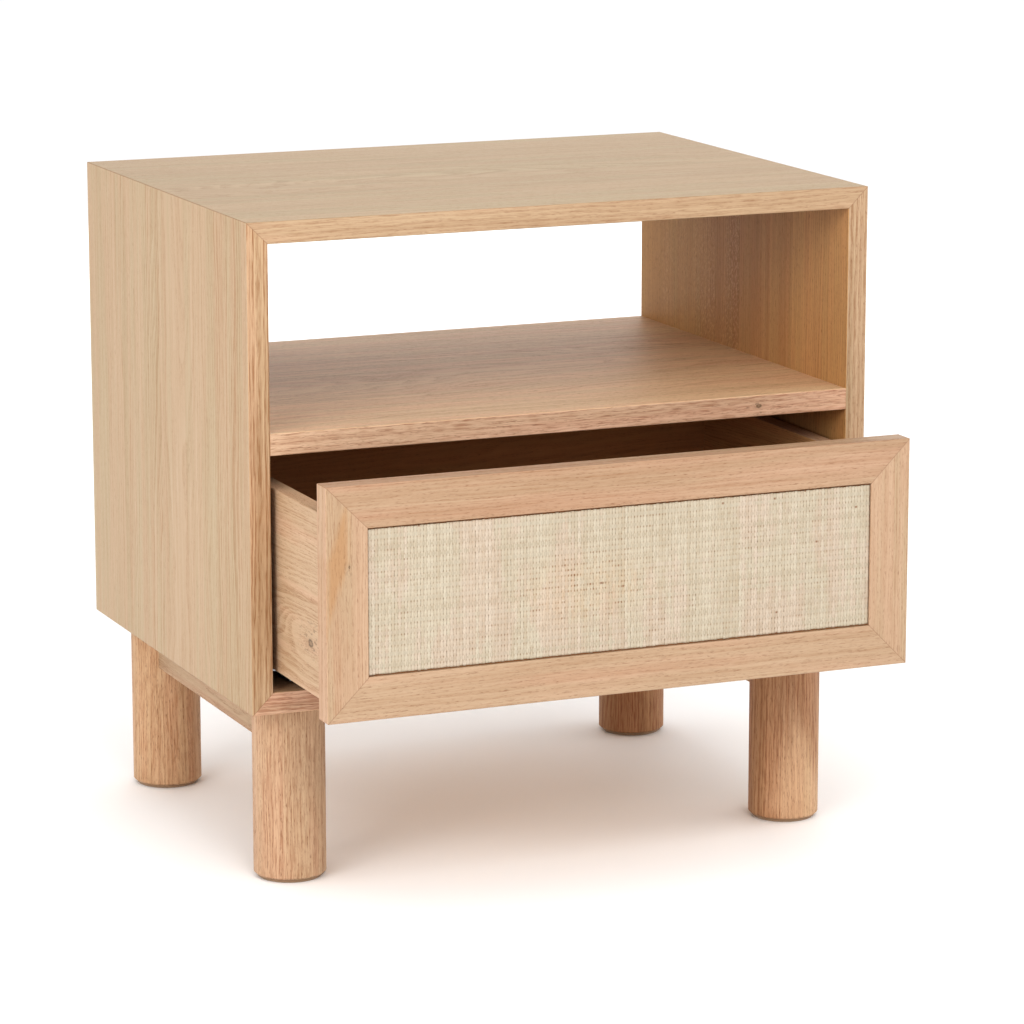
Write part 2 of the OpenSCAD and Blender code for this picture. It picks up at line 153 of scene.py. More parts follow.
def new_material(name):
    """A material with nothing in it but a surface shader: its graph and that shader."""
    made = bpy.data.materials.new(name)
    made.use_nodes = True
    return made, Graph(made.node_tree), made.node_tree.nodes["Principled BSDF"]


def object_place(graph, unit=MM):
    """Object coordinates, in millimetres unless another unit is given."""
    raw = graph.node("TexCoord").outputs["Object"]
    return graph.vector("DIVIDE", raw, (unit, unit, unit))


def relief(graph, shader, height, depth, strength=1.0):
    """Bump from a height of 0 to 1, where 1 is depth metres."""
    bump = graph.node("Bump", {"Height": height, "Distance": depth, "Strength": strength})
    graph.feed(shader.inputs["Normal"], bump.outputs[0])


def paint(node, material):
    """The CAD node takes this material all over."""
    NODES[node].data.materials.clear()
    NODES[node].data.materials.append(material)


def mesh_piece(name, vertices, faces):
    """A new smooth-shaded piece made of these points and faces."""
    data = bpy.data.meshes.new(name)
    data.from_pydata([tuple(point) for point in vertices], [], faces)
    data.validate()
    data.shade_smooth()
    piece = bpy.data.objects.new(name, data)
    bpy.context.scene.collection.objects.link(piece)
    return piece


def tube_faces(start, rings, corners):
    """The faces of a closed tube whose points are numbered ring by ring from start."""
    faces = []
    for ring in range(rings - 1):
        near = start + ring * corners
        far = near + corners
        for corner in range(corners):
            after = (corner + 1) % corners
            faces.append((near + corner, near + after, far + after, far + corner))
    last = start + (rings - 1) * corners
    faces.append(tuple(start + corner for corner in reversed(range(corners))))
    faces.append(tuple(last + corner for corner in range(corners)))
    return faces


# ---------------------------------------------------------------- oak

OAK_INPUTS = {
    "Place": "NodeSocketVector",
    "Seed": "NodeSocketFloat",
    "Pale": "NodeSocketColor",
    "Deep": "NodeSocketColor",
    "Stave": "NodeSocketFloat",
    "Pith side": "NodeSocketFloat",
    "Pith depth": "NodeSocketFloat",
    "Taper": "NodeSocketFloat",
    "Figure": "NodeSocketFloat",
    "Pores": "NodeSocketFloat",
    "Rays": "NodeSocketFloat",
    "Knot way": "NodeSocketVector",
    "Knot size": "NodeSocketFloat",
    "Mitre": "NodeSocketFloat",
    "Strokes": "NodeSocketFloat",
    "Wave": "NodeSocketFloat",
    "Stave tone": "NodeSocketFloat",
}
OAK_OUTPUTS = {"Colour": "NodeSocketColor", "Roughness": "NodeSocketFloat", "Height": "NodeSocketFloat"}
# A year's mean growth in millimetres, how many years lean growth adds to the count at most, and how many
# millimetres the pith wanders beside and below the board.
RING_WIDTH = 3.1
RING_SPREAD = 3.4
DRIFT, SWAY = 34.0, 30.0
# How far clear wood, with no mark on it, lies from the pale tone towards the deep one.
PLAIN_TONE = 0.30
PORE_COLOUR = rgb(123, 83, 54)
KNOT_COLOUR = rgb(101, 80, 56)
PINK_TINT = (1.022, 0.988, 0.963, 1.0)
GREEN_TINT = (0.978, 0.997, 0.957, 1.0)


def staves(graph, given, y):
    """The glued stave that a place lies in: three random numbers of its own, and 1 on its glue joints."""
    stave_at = graph.add(graph.math("DIVIDE", y, given["Stave"]), graph.times(given["Seed"], 0.37))
    stave = graph.math("FLOOR", stave_at)
    from_joint = graph.math("PINGPONG", graph.math("SUBTRACT", stave_at, stave), 0.5)
    joint = graph.ramp(graph.times(from_joint, given["Stave"]), 0.0, 0.5, 1.0, 0.0)
    return graph.dice(stave, given["Seed"]), joint


def knot_marks(graph, given, place):
    """The knot: how strongly its rim, core and cracks colour the wood, and how far it bends the grain."""
    size = graph.math("MAXIMUM", given["Knot size"], 0.001)
    far = graph.length(graph.vector("MULTIPLY", given["Knot way"], (0.6, 1.0, 1.0)))
    ragged = graph.centre(graph.noise(place, (4.0, 2.2, 4.0), 2, 0.6))
    near = graph.add(graph.math("DIVIDE", far, size), graph.times(ragged, 0.9))
    rim = graph.times(graph.ramp(near, 0.25, 0.75), graph.ramp(near, 0.8, 1.2, 1.0, 0.0))
    cracks = graph.times(
        graph.ramp(graph.noise(place, (9.0, 4.0, 5.0), 3, 0.65, 31.0), 0.56, 0.66),
        graph.ramp(near, 0.8, 1.6), graph.ramp(near, 2.5, 7.0, 1.0, 0.0),
    )
    core = graph.add(
        graph.times(rim, 0.65), graph.ramp(near, 0.3, 1.0, 0.45, 0.0), graph.times(cracks, 0.6),
        graph.ramp(near, 0.6, 3.5, 0.14, 0.0),
    )
    return core, graph.times(graph.ramp(near, 0.6, 4.5, 1.0, 0.0), size)


def growth_rings(graph, given, place, lucks, shift, swirl):
    """The rings round the pith: 1 in the porous early wood of a year, and a random number for that year."""
    x, y, z = graph.split(place)
    drift = graph.centre(graph.noise(place, (380, 42, 42), 2, 0.45, shift))
    sway = graph.centre(graph.noise(place, (210, 60, 60), 2, 0.5, graph.add(shift, 9.0)))
    ripple = graph.centre(graph.noise(place, (26, 5, 5), 2, 0.5, graph.add(shift, 5.0)))
    side = graph.add(
        y, graph.times(given["Pith side"], graph.add(graph.times(lucks[0], 0.8), 0.6)),
        graph.times(drift, DRIFT, given["Wave"]), graph.times(swirl, 0.9),
    )
    depth = graph.add(
        z, graph.times(given["Pith depth"], graph.add(graph.times(lucks[1], 0.7), 0.65)),
        graph.times(x, given["Taper"], graph.math("SUBTRACT", graph.times(lucks[2], 3.0), 1.0)),
        graph.times(sway, SWAY, given["Wave"]),
    )
    radius = graph.math("SQRT", graph.add(graph.times(side, side), graph.times(depth, depth)))
    uneven = graph.noise(graph.join(radius, given["Seed"], 0.0), (13, 1, 1), 1)
    grown = graph.add(
        graph.math("DIVIDE", radius, RING_WIDTH), graph.times(ripple, 0.35),
        graph.times(uneven, RING_SPREAD),
    )
    ring = graph.math("FRACT", grown)
    year = graph.dice(graph.math("FLOOR", grown), given["Seed"])[0]
    return graph.times(graph.ramp(ring, 0.0, 0.12), graph.ramp(ring, 0.25, 0.95, 1.0, 0.0)), year


def fine_marks(graph, given, place, early, year, luck, shift):
    """How much of the ring figure shows in its broken lines, and the long strokes and open pores."""
    stroke = graph.noise(place, (16, 0.8, 0.8), 1, 0.5, graph.add(shift, 17.0))
    dash = graph.noise(place, (4.5, 0.5, 0.5), 1, 0.5, shift)
    broken = graph.ramp(stroke, 0.30, 0.62, 0.25, 1.5)
    bold = graph.add(0.45, graph.times(year, 0.9))
    figure = graph.times(early, broken, bold, graph.add(0.55, graph.times(luck, 0.9)), given["Figure"])
    strokes = graph.times(graph.ramp(stroke, 0.47, 0.68), given["Strokes"])
    pore = graph.times(
        graph.ramp(dash, 0.56, 0.70), graph.add(0.25, graph.times(early, 0.95)), given["Pores"],
    )
    return figure, strokes, pore


def ray_flecks(graph, given, place, cloud, shift):
    """Pale flecks that lean across the grain, in patches."""
    x, y, z = graph.split(place)
    leaning_place = graph.join(graph.add(x, graph.times(y, 0.9)), y, z)
    fleck = graph.noise(leaning_place, (3.4, 2.0, 9.0), 2, 0.65, graph.add(shift, 13.0))
    return graph.times(graph.ramp(fleck, 0.50, 0.60), graph.ramp(cloud, 0.30, 0.55), given["Rays"])


def oak_colour(graph, given, place, tone, pore, knot_core, luck, shift):
    """Pale to deep by tone, pinker or greener in broad stripes, then pores, knot and mitre line."""
    tone = graph.math("MINIMUM", graph.math("MAXIMUM", tone, 0.0), 1.6)
    colour = graph.mix(graph.math("MULTIPLY", tone, 0.75, clamp=True), given["Pale"], given["Deep"])
    hue = graph.noise(place, (260, 17, 17), 2, 0.5, graph.add(shift, 21.0))
    pinkness = graph.ramp(graph.add(hue, graph.times(luck, 0.14)), 0.44, 0.66)
    colour = graph.tint(1.0, colour, graph.mix(pinkness, GREEN_TINT, PINK_TINT))
    colour = graph.mix(graph.times(pore, 0.62), colour, PORE_COLOUR)
    colour = graph.mix(graph.math("MULTIPLY", knot_core, 0.9, clamp=True), colour, KNOT_COLOUR)
    return graph.mix(graph.times(given["Mitre"], 0.45), colour, PORE_COLOUR)


def oak_group():
    """Solid oak in millimetres: x runs along the grain, y across the face, z through the thickness.

    Growth rings lie round a pith that is tilted to the grain, so a face shows straight lines where they
    stand upright and arches where they lie flat. Glued staves each have their own pith and tone.
    """
    tree = bpy.data.node_groups.new("oak_wood", "ShaderNodeTree")
    for name, kind in OAK_INPUTS.items():
        tree.interface.new_socket(name, in_out="INPUT", socket_type=kind)
    for name, kind in OAK_OUTPUTS.items():
        tree.interface.new_socket(name, in_out="OUTPUT", socket_type=kind)
    graph = Graph(tree)
    given = tree.nodes.new("NodeGroupInput").outputs
    place = given["Place"]

    lucks, joint = staves(graph, given, graph.split(place)[1])
    shift = graph.add(graph.times(lucks[0], 40.0), given["Seed"])
    knot_core, swirl = knot_marks(graph, given, place)
    early, year = growth_rings(graph, given, place, lucks, shift, swirl)
    fibre = graph.noise(place, (70, 0.9, 0.9), 2, 0.6, shift)
    streak = graph.noise(place, (240, 4.5, 4.5), 3, 0.6, graph.add(shift, 3.0))
    cloud = graph.noise(place, (300, 26, 26), 2, 0.5, graph.add(shift, 7.0))
    figure, strokes, pore = fine_marks(graph, given, place, early, year, lucks[2], shift)
    ray = ray_flecks(graph, given, place, cloud, shift)

    tone = graph.add(
        PLAIN_TONE, figure, strokes, graph.times(graph.centre(fibre), 0.55),
        graph.times(graph.centre(streak), 1.25), graph.times(graph.centre(cloud), 0.85),
        graph.times(graph.centre(lucks[1]), given["Stave tone"]), graph.times(joint, 0.22),
        graph.times(ray, -0.7),
    )
    rough = graph.add(
        0.47, graph.times(pore, 0.20), graph.times(fibre, 0.10), graph.times(ray, -0.12),
        graph.times(knot_core, -0.05),
    )
    height = graph.add(
        0.62, graph.times(pore, -0.55), graph.times(graph.centre(fibre), 0.25),
        graph.times(early, -0.10), graph.times(joint, -0.15), graph.times(given["Mitre"], -0.6),
    )
    made = tree.nodes.new("NodeGroupOutput")
    colour = oak_colour(graph, given, place, tone, pore, knot_core, lucks[0], shift)
    graph.feed(made.inputs["Colour"], colour)
    graph.feed(made.inputs["Roughness"], rough)
    graph.feed(made.inputs["Height"], height)
    return tree


OAK = oak_group()


def ring_size(nodes):
    """Half width, middle height and half height, in millimetres, of a ring of mitred members."""
    boxes = [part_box(node) for node in nodes]
    lowest, highest = min(box[0].z for box in boxes), max(box[1].z for box in boxes)
    half_width = max(box[1].x for box in boxes)
    return half_width / MM, (lowest + highest) / 2 / MM, (highest - lowest) / 2 / MM


def mitre_line(graph, ring):
    """1 on the hairline glue joint that runs at 45 degrees into each corner of the ring, 0 elsewhere."""
    half_width, middle, half_height = ring
    x, _, z = graph.split(object_place(graph))
    from_side = graph.math("SUBTRACT", half_width, graph.math("ABSOLUTE", x))
    above_middle = graph.math("SUBTRACT", z, middle)
    from_end = graph.math("SUBTRACT", half_height, graph.math("ABSOLUTE", above_middle))
    apart = graph.math("ABSOLUTE", graph.math("SUBTRACT", from_side, from_end))
    return graph.ramp(apart, 0.1, 0.6, 1.0, 0.0)


# A leaf is the wood that one face of a board is cut from. Each kind changes some settings: (times, more).
LEAF_CHANGES = {
    "edge": {"Figure": (1.5, 0.0), "Strokes": (1.0, 0.3), "Taper": (0.2, 0.0), "Wave": (0.35, 0.0)},
    "inside": {"Stave tone": (1.0, 0.45)},
    "end": {},
}
# A face belongs to a leaf when its normal points that way by more than this.
SQUARELY = 0.7


def leaf_faces(graph, middle, stave):
    """For each kind of leaf: how squarely a face looks its way, and how far off in the tree it was cut."""
    facing = graph.split(graph.node("TexCoord").outputs["Normal"])
    outward = graph.times(facing[0], math.copysign(1.0, middle.x))
    return {
        "edge": (graph.math("ABSOLUTE", facing[1]), (137.0, 0.0, 160.0)),
        "inside": (graph.times(outward, -1.0), (310.0, 2.0 * stave, 22.0)),
        "end": (outward, (55.0, 0.0, 31.0)),
    }


def lay_leaves(graph, settings, leaves, middle, stave):
    """Gives some faces of a board their own leaf of oak: its place, its tones and how it is marked."""
    faces = leaf_faces(graph, middle, stave)
    for kind, (pale, deep) in leaves.items():
        turned, shift = faces[kind]
        mask = graph.math("GREATER_THAN", turned, SQUARELY)
        moved = graph.vector("ADD", settings["Place"], shift)
        mixed = graph.node("Mix", {0: mask, 4: settings["Place"], 5: moved}, data_type="VECTOR")
        settings["Place"] = mixed.outputs[1]
        settings["Pale"] = graph.mix(mask, settings["Pale"], pale)
        settings["Deep"] = graph.mix(mask, settings["Deep"], deep)
        for name, (times, more) in LEAF_CHANGES[kind].items():
            scale = graph.add(1.0, graph.times(mask, times - 1.0))
            settings[name] = graph.add(graph.times(scale, settings[name]), graph.times(mask, more))


def lay_flame(graph, settings, along, across, flame):
    """Gives a board a long ragged lens of another tone, where wilder grain comes to the surface."""
    tone, middle_along, middle_across, half_length, half_width, lean = flame
    forward = graph.math("SUBTRACT", along, middle_along)
    aside = graph.add(across, graph.times(forward, -lean), -middle_across)
    far = graph.add(
        graph.math("DIVIDE", graph.math("ABSOLUTE", forward), half_length),
        graph.math("DIVIDE", graph.math("ABSOLUTE", aside), half_width),
    )
    ragged = graph.centre(graph.noise(settings["Place"], (60, 2.5, 2.5), 2, 0.6, 41.0))
    mask = graph.ramp(graph.add(far, graph.times(ragged, 0.9)), 0.45, 1.1, 1.0, 0.0)
    settings["Pale"] = graph.mix(graph.times(mask, 0.9), settings["Pale"], tone)
    settings["Deep"] = graph.mix(graph.times(mask, 0.6), settings["Deep"], tone)


def between(graph, across, first, last, blur=2):
    """1 between two places across a board, 0 outside them."""
    after_first = graph.ramp(across, first - blur, first + blur)
    before_last = graph.ramp(across, last - blur, last + blur, 1.0, 0.0)
    return graph.times(after_first, before_last)


# Stave widths in millimetres: four across a side of the box, and so wide that no joint shows.
SIDE_STAVE = 102.5
ONE_STAVE = 400
STAVE_CONTRAST = 0.22
NO_KNOT = (1000.0, 0.0, 0.0)
OAK_RELIEF = 0.25 * MM


def oak(node, axes, seed, tones, stave=75, pith=(20, 95), taper=0.03, figure=0.5, pores=0.7,
        strokes=0.0, wave=1.0, rays=None, bold=None, flame=None, knot=None, ring=None, **leaves):
    """Oak for one CAD node. Lengths are in millimetres, and places are measured from the board's middle.

    axes names the object's axes that run along the grain, across the face and through it.
    tones is (pale, deep). stave is the width of a glued strip. pith is how far beside and below the face
    the heart of the tree lay. taper tilts it, wave bends the rings, and figure, pores and strokes say how
    strongly the rings, pores and long dashes show.
    rays is (strength, from, to): flecks between two places across the board.
    bold is (times, from, to): growth rings that stand out more between two places across it.
    flame is (tone, along, across, half length, half width, lean): a long lens of another tone.
    knot is (share along, share across, share through, radius), shares being of the node's box.
    ring is the size of the mitred ring that the board is part of.
    leaves are the tones of single faces: edge, the front and back; inside and end, those that look
    towards the object's middle and away from it.
    """
    material, graph, shader = new_material("oak_" + node)
    low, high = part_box(node)
    middle = (low + high) / 2 / MM
    local = graph.vector("SUBTRACT", object_place(graph), tuple(middle))
    parts = dict(zip("XYZ", graph.split(local)))
    place = graph.join(*[parts[axis] for axis in axes])
    settings = {
        "Place": place, "Seed": float(seed), "Pale": tones[0], "Deep": tones[1], "Stave": float(stave),
        "Pith side": float(pith[0]), "Pith depth": float(pith[1]), "Taper": taper, "Figure": figure,
        "Pores": pores, "Strokes": strokes, "Wave": wave, "Stave tone": STAVE_CONTRAST,
        "Mitre": mitre_line(graph, ring) if ring else 0.0, "Knot way": NO_KNOT,
    }
    if bold:
        within = between(graph, parts[axes[1]], *bold[1:])
        settings["Figure"] = graph.times(graph.add(1.0, graph.times(within, bold[0] - 1.0)), figure)
    if rays:
        settings["Rays"] = graph.times(between(graph, parts[axes[1]], *rays[1:]), rays[0])
    lay_leaves(graph, settings, leaves, middle, stave)
    if flame:
        lay_flame(graph, settings, parts[axes[0]], parts[axes[1]], flame)
    if knot:
        spans = [(high - low)["XYZ".index(axis)] / MM for axis in axes]
        centre = tuple((share - 0.5) * span for share, span in zip(knot, spans))
        settings["Knot way"] = graph.vector("SUBTRACT", place, centre)
        settings["Knot size"] = float(knot[3])
    wood = graph.node("Group", node_tree=OAK)
    for socket, value in settings.items():
        graph.feed(wood.inputs[socket], value)
    graph.feed(shader.inputs["Base Color"], wood.outputs["Colour"])
    graph.feed(shader.inputs["Roughness"], wood.outputs["Roughness"])
    shader.inputs["Specular IOR Level"].default_value = 0.35
    relief(graph, shader, wood.outputs["Height"], OAK_RELIEF, 0.6)
    paint(node, material)


# The pale and the deep tone of each board, and the single tones of flames.
TOP_TONES = rgb(168, 144, 112), rgb(147, 121, 88)
SIDE_TONES = rgb(187, 166, 140), rgb(168, 136, 103)
EDGE_TONES = rgb(187, 160, 133), rgb(152, 117, 88)
LEFT_EDGE_TONES = rgb(193, 165, 136), rgb(150, 112, 79)
RIGHT_EDGE_TONES = rgb(189, 166, 139), rgb(154, 123, 93)
SHELF_TONES = rgb(226, 194, 159), rgb(190, 151, 118)
SHELF_EDGE_TONES = rgb(212, 180, 155), rgb(168, 126, 100)
WALL_TONES = rgb(193, 150, 99), rgb(154, 106, 61)
FRONT_TONES = rgb(183, 156, 132), rgb(160, 126, 98)
TOP_RAIL_TONES = rgb(180, 152, 128), rgb(157, 122, 94)
STILE_TONES = rgb(185, 160, 136), rgb(162, 130, 102)
FRONT_END_TONES = rgb(196, 168, 143), rgb(172, 136, 107)
LEG_TONES = rgb(197, 167, 139), rgb(165, 126, 97)
PALE_LEG_TONES = rgb(206, 173, 141), rgb(175, 133, 99)
FLAMED_LEG_TONES = rgb(188, 148, 113), rgb(150, 106, 74)
# Deeper tones for the rear right leg: painted shade under the box.
PAINTED_SHADE_LEG_TONES = rgb(176, 134, 97), rgb(140, 91, 58)
REAR_WALL_TONE = rgb(196, 154, 98)
SPEAR_TONE = rgb(209, 177, 144)
FLAME_TONE = rgb(174, 135, 99)
BOX_TONES = rgb(197, 169, 143), rgb(172, 138, 109)
BAY_TONES = rgb(196, 154, 108), rgb(164, 118, 76)
BACK_TONES = rgb(196, 163, 127), rgb(172, 134, 98)
BEECH_TONES = rgb(206, 178, 146), rgb(180, 146, 110)
# The board behind the cane is a deeper brown than the other oak so that the gaps round and between the
# strands read darker: painted shade.
PAINTED_SHADE_BACKING_TONES = rgb(154, 108, 68), rgb(122, 82, 48)


def finish_carcass():
    """The open box: mitred top, sides and bottom, and the shelf, each a board with oak of its own."""
    case = ring_size(["top_panel", "bottom_panel", "left_side_panel", "right_side_panel"])
    oak("top_panel", "XYZ", 11, TOP_TONES, stave=82, pith=(8, 120), taper=0.05, figure=0.30, pores=0.5,
        edge=EDGE_TONES, ring=case)
    oak("left_side_panel", "ZYX", 24, SIDE_TONES, stave=SIDE_STAVE, pith=(26, 90), figure=0.38, pores=0.4,
        wave=0.8, bold=(2.1, -210, -120), edge=LEFT_EDGE_TONES, inside=WALL_TONES, ring=case)
    oak("right_side_panel", "ZYX", 100, SIDE_TONES, stave=SIDE_STAVE, pith=(60, 30), taper=0.02,
        figure=0.3, pores=0.8, wave=0.6, rays=(1.0, 0, 160), flame=(REAR_WALL_TONE, 100, 150, 600, 120, 0.0),
        edge=RIGHT_EDGE_TONES, inside=WALL_TONES, ring=case)
    oak("bottom_panel", "XYZ", 41, SHELF_TONES, stave=80, pith=(15, 100), taper=0.04, figure=0.4,
        strokes=0.3, edge=SHELF_EDGE_TONES, ring=case)
    oak("shelf", "XYZ", 53, SHELF_TONES, stave=110, pith=(18, 105), taper=0.05, figure=0.25,
        strokes=0.25, knot=(0.842, 0.0, 0.5, 1.6), edge=SHELF_EDGE_TONES)


def finish_legs():
    """Turned legs. The front right one has a pale spear of grain up its front. The rear right one takes
    deeper tones as painted shade, for the shadow under the box.
    """
    figures = {"front_left_leg": 0.4, "front_right_leg": 0.65, "rear_left_leg": 0.6, "rear_right_leg": 0.6}
    own_tones = {"front_right_leg": FLAMED_LEG_TONES, "rear_right_leg": PAINTED_SHADE_LEG_TONES,
                 "rear_left_leg": PALE_LEG_TONES}
    spears = {"front_right_leg": (SPEAR_TONE, -60, 4, 120, 30, -0.12)}
    for number, (leg, figure) in enumerate(figures.items()):
        oak(leg, "ZXY", 61 + 7 * number, own_tones.get(leg, LEG_TONES), stave=ONE_STAVE, pith=(150, -58),
            taper=0.01, figure=figure, pores=0.9, strokes=0.65, wave=0.5, flame=spears.get(leg))


def finish_leg_rails():
    """The rail between the legs of each side."""
    for number, rail in enumerate(["left_leg_rail", "right_leg_rail"]):
        oak(rail, "YZX", 91 + 5 * number, EDGE_TONES, stave=ONE_STAVE, pith=(30, 60), taper=0.02,
            figure=0.4, strokes=0.2)


def finish_drawer_front():
    """The mitred frame. Its left stile has a pin knot and a darker flame."""
    rails = {"front_top_rail": TOP_RAIL_TONES, "front_bottom_rail": FRONT_TONES}
    stiles = ["front_left_stile", "front_right_stile"]
    plain = {"stave": ONE_STAVE, "pith": (110, 40), "taper": 0.02, "figure": 0.26, "wave": 0.6,
             "ring": ring_size([*rails, *stiles])}
    left_marks = {"knot": (0.66, 0.55, 0.0, 0.8), "flame": (FLAME_TONE, 34, -8, 62, 11, 0.16)}
    for number, (rail, tones) in enumerate(rails.items()):
        oak(rail, "XZY", 103 + 6 * number, tones, pores=0.7, strokes=0.22, **plain)
    for number, stile in enumerate(stiles):
        marks = left_marks if stile == "front_left_stile" else {}
        oak(stile, "ZXY", 121 + 6 * number, STILE_TONES, pores=0.6, strokes=0.2, end=FRONT_END_TONES,
            **plain, **marks)


def finish_drawer_box():
    """The drawer box behind the front: the left side, which is seen, has a knot."""
    oak("drawer_left_side", "YZX", 131, BOX_TONES, stave=ONE_STAVE, pith=(60, 70), figure=0.4, pores=0.6,
        strokes=0.25, knot=(0.07, 0.275, 0.0, 3.4))
    oak("drawer_right_side", "YZX", 137, BOX_TONES, stave=90, pith=(24, 80), figure=0.4, pores=0.6,
        inside=BAY_TONES)
    for seed, node in ((143, "drawer_inner_front"), (149, "drawer_back")):
        oak(node, "XZY", seed, BAY_TONES, stave=90, pith=(24, 80), taper=0.05, figure=0.4, pores=0.6)


def finish_panels():
    """Thin veneered boards: the back of the bay, the drawer bottom and the board behind the rattan."""
    veneer = {"pith": (20, 110), "taper": 0.05, "pores": 0.5}
    oak("back_panel", "XZY", 157, BACK_TONES, stave=140, figure=0.35, **veneer)
    oak("drawer_bottom", "XYZ", 163, BAY_TONES, stave=130, figure=0.4, **veneer)
    # Deeper brown behind the cane: painted shade in the gaps of the weave.
    oak("rattan_backing_board", "XZY", 167, PAINTED_SHADE_BACKING_TONES, stave=130, figure=0.4, **veneer)


def finish_beech():
    """Dowels and splines: close-grained, plain."""
    joinery = ["carcass_splines", "shelf_dowels", "leg_rail_dowels", "drawer_dowels", "front_splines"]
    for number, node in enumerate(joinery):
        oak(node, "XYZ", 171 + number, BEECH_TONES, stave=ONE_STAVE, pith=(30, 60), taper=0.02,
            figure=0.15, pores=0.2)


# ---------------------------------------------------------------- metal, plastic, felt

SPRING_STEEL = rgb(150, 152, 156)


def metal(name, colour, rough, brushed, spangle=0.0):
    """Bare or plated metal. brushed is how far the fine draw lines go, spangle how far zinc flowers show."""
    material, graph, shader = new_material(name)
    place = object_place(graph)
    lines = graph.noise(place, (0.25, 14, 0.25), 2, 0.6)
    cloud = graph.noise(place, (9, 9, 9), 3, 0.6, 4.0)
    flakes = graph.node("TexVoronoi", {"Vector": place, "Scale": 0.35}).outputs["Color"]
    flake = graph.split(flakes)[0]
    share = graph.add(graph.times(cloud, 0.5), graph.times(lines, brushed), graph.times(flake, spangle))
    graph.feed(shader.inputs["Base Color"], graph.mix(share, colour, darkened(colour, 0.72)))
    shader.inputs["Metallic"].default_value = 1.0
    uneven = graph.add(rough - 0.08, graph.times(cloud, 0.16), graph.times(flake, 0.12 * spangle))
    graph.feed(shader.inputs["Roughness"], uneven)
    relief(graph, shader, graph.add(graph.times(lines, brushed), graph.times(cloud, 0.3)), 0.03 * MM)
    return material


def plastic(name, colour, rough):
    """Moulded plastic with a fine spark-eroded grain and a slight cloudiness."""
    material, graph, shader = new_material(name)
    place = object_place(graph)
    grain = graph.noise(place, (0.35, 0.35, 0.35), 2, 0.6)
    cloud = graph.noise(place, (12, 12, 12), 2, 0.5, 3.0)
    graph.feed(shader.inputs["Base Color"], graph.mix(cloud, colour, darkened(colour, 0.86)))
    graph.feed(shader.inputs["Roughness"], graph.add(rough - 0.05, graph.times(grain, 0.14)))
    relief(graph, shader, grain, 0.04 * MM)
    return material


def felt(name, colour):
    """Pressed wool felt: tangled fibres, no shine."""
    material, graph, shader = new_material(name)
    place = object_place(graph)
    fibres = graph.noise(place, (0.5, 0.12, 0.5), 3, 0.7)
    tufts = graph.noise(place, (2.2, 2.2, 2.2), 2, 0.6, 6.0)
    share = graph.add(graph.times(fibres, 0.6), graph.times(tufts, 0.4))
    graph.feed(shader.inputs["Base Color"], graph.mix(share, colour, darkened(colour, 0.6)))
    graph.feed(shader.inputs["Roughness"], graph.add(0.85, graph.times(tufts, 0.1)))
    shader.inputs["Sheen Weight"].default_value = 0.3
    relief(graph, shader, share, 0.3 * MM)
    return material


def finish_fittings():
    """Runners, balls, screws, latch and glides."""
    zinc = metal("zinc_plated_steel", rgb(196, 199, 203), rough=0.34, brushed=0.35, spangle=0.25)
    screw = metal("screw_steel", rgb(178, 178, 176), rough=0.38, brushed=0.15)
    ball = metal("ball_steel", rgb(214, 216, 219), rough=0.16, brushed=0.0)
    spring = metal("spring_steel", SPRING_STEEL, rough=0.30, brushed=0.1)
    brass = metal("brass", rgb(214, 178, 104), rough=0.32, brushed=0.15)
    grey = plastic("grey_plastic", rgb(134, 137, 140), rough=0.48)
    white = plastic("white_plastic", rgb(228, 228, 224), rough=0.42)
    pad = felt("glide_felt", rgb(168, 138, 108))
    by_slot = {
        "zinc_plated_steel": zinc, "screw_steel": screw, "ball_steel": ball, "spring_steel": spring,
        "brass": brass, "grey_plastic": grey, "white_plastic": white, "glide_felt": pad,
    }
    for node, thing in NODES.items():
        slots = [slot.name for slot in thing.data.materials if slot]
        wanted = slots[0].split(".")[0] if slots else ""
        if wanted in by_slot:
            paint(node, by_slot[wanted])


# ---------------------------------------------------------------- latch spring

SPRING_TURNS = 9
# The wire's radius, and the rise of a closed end turn, which just clears its neighbour.
WIRE_RADIUS = 0.5 * MM
END_PITCH = 2.1 * WIRE_RADIUS
STEPS_PER_TURN = 28
WIRE_SIDES = 10


def spring_rise(turns_done, length):
    """How far along its axis the wire has come: the first and last turns lie closed, the rest are open."""
    closed = min(turns_done, 1.0) + max(turns_done - (SPRING_TURNS - 1), 0.0)
    open_pitch = (length - 2 * END_PITCH) / (SPRING_TURNS - 2)
    return closed * END_PITCH + (turns_done - closed) * open_pitch


def wind_spring():
    """The push latch's coil spring."""
    low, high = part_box("latch_spring")
    radius = (high.x - low.x) / 2 - WIRE_RADIUS
    length = high.y - low.y - 2 * WIRE_RADIUS
    rings = SPRING_TURNS * STEPS_PER_TURN + 1
    vertices = []
    for ring in range(rings):
        turn = math.tau * ring / STEPS_PER_TURN
        y = low.y + WIRE_RADIUS + spring_rise(ring / STEPS_PER_TURN, length)
        for side in range(WIRE_SIDES):
            around = math.tau * side / WIRE_SIDES
            out = radius + WIRE_RADIUS * math.cos(around)
            vertices.append(Vector((
                (low.x + high.x) / 2 + out * math.cos(turn),
                y + WIRE_RADIUS * math.sin(around),
                (low.z + high.z) / 2 + out * math.sin(turn),
            )))
    coil = mesh_piece("latch_coil", vertices, tube_faces(0, rings, WIRE_SIDES))
    coil.data.materials.append(metal("coil_steel", SPRING_STEEL, rough=0.30, brushed=0.1))
    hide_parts("latch_spring")
    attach(coil, "cabinet")
    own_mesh(coil)


# ---------------------------------------------------------------- woven rattan

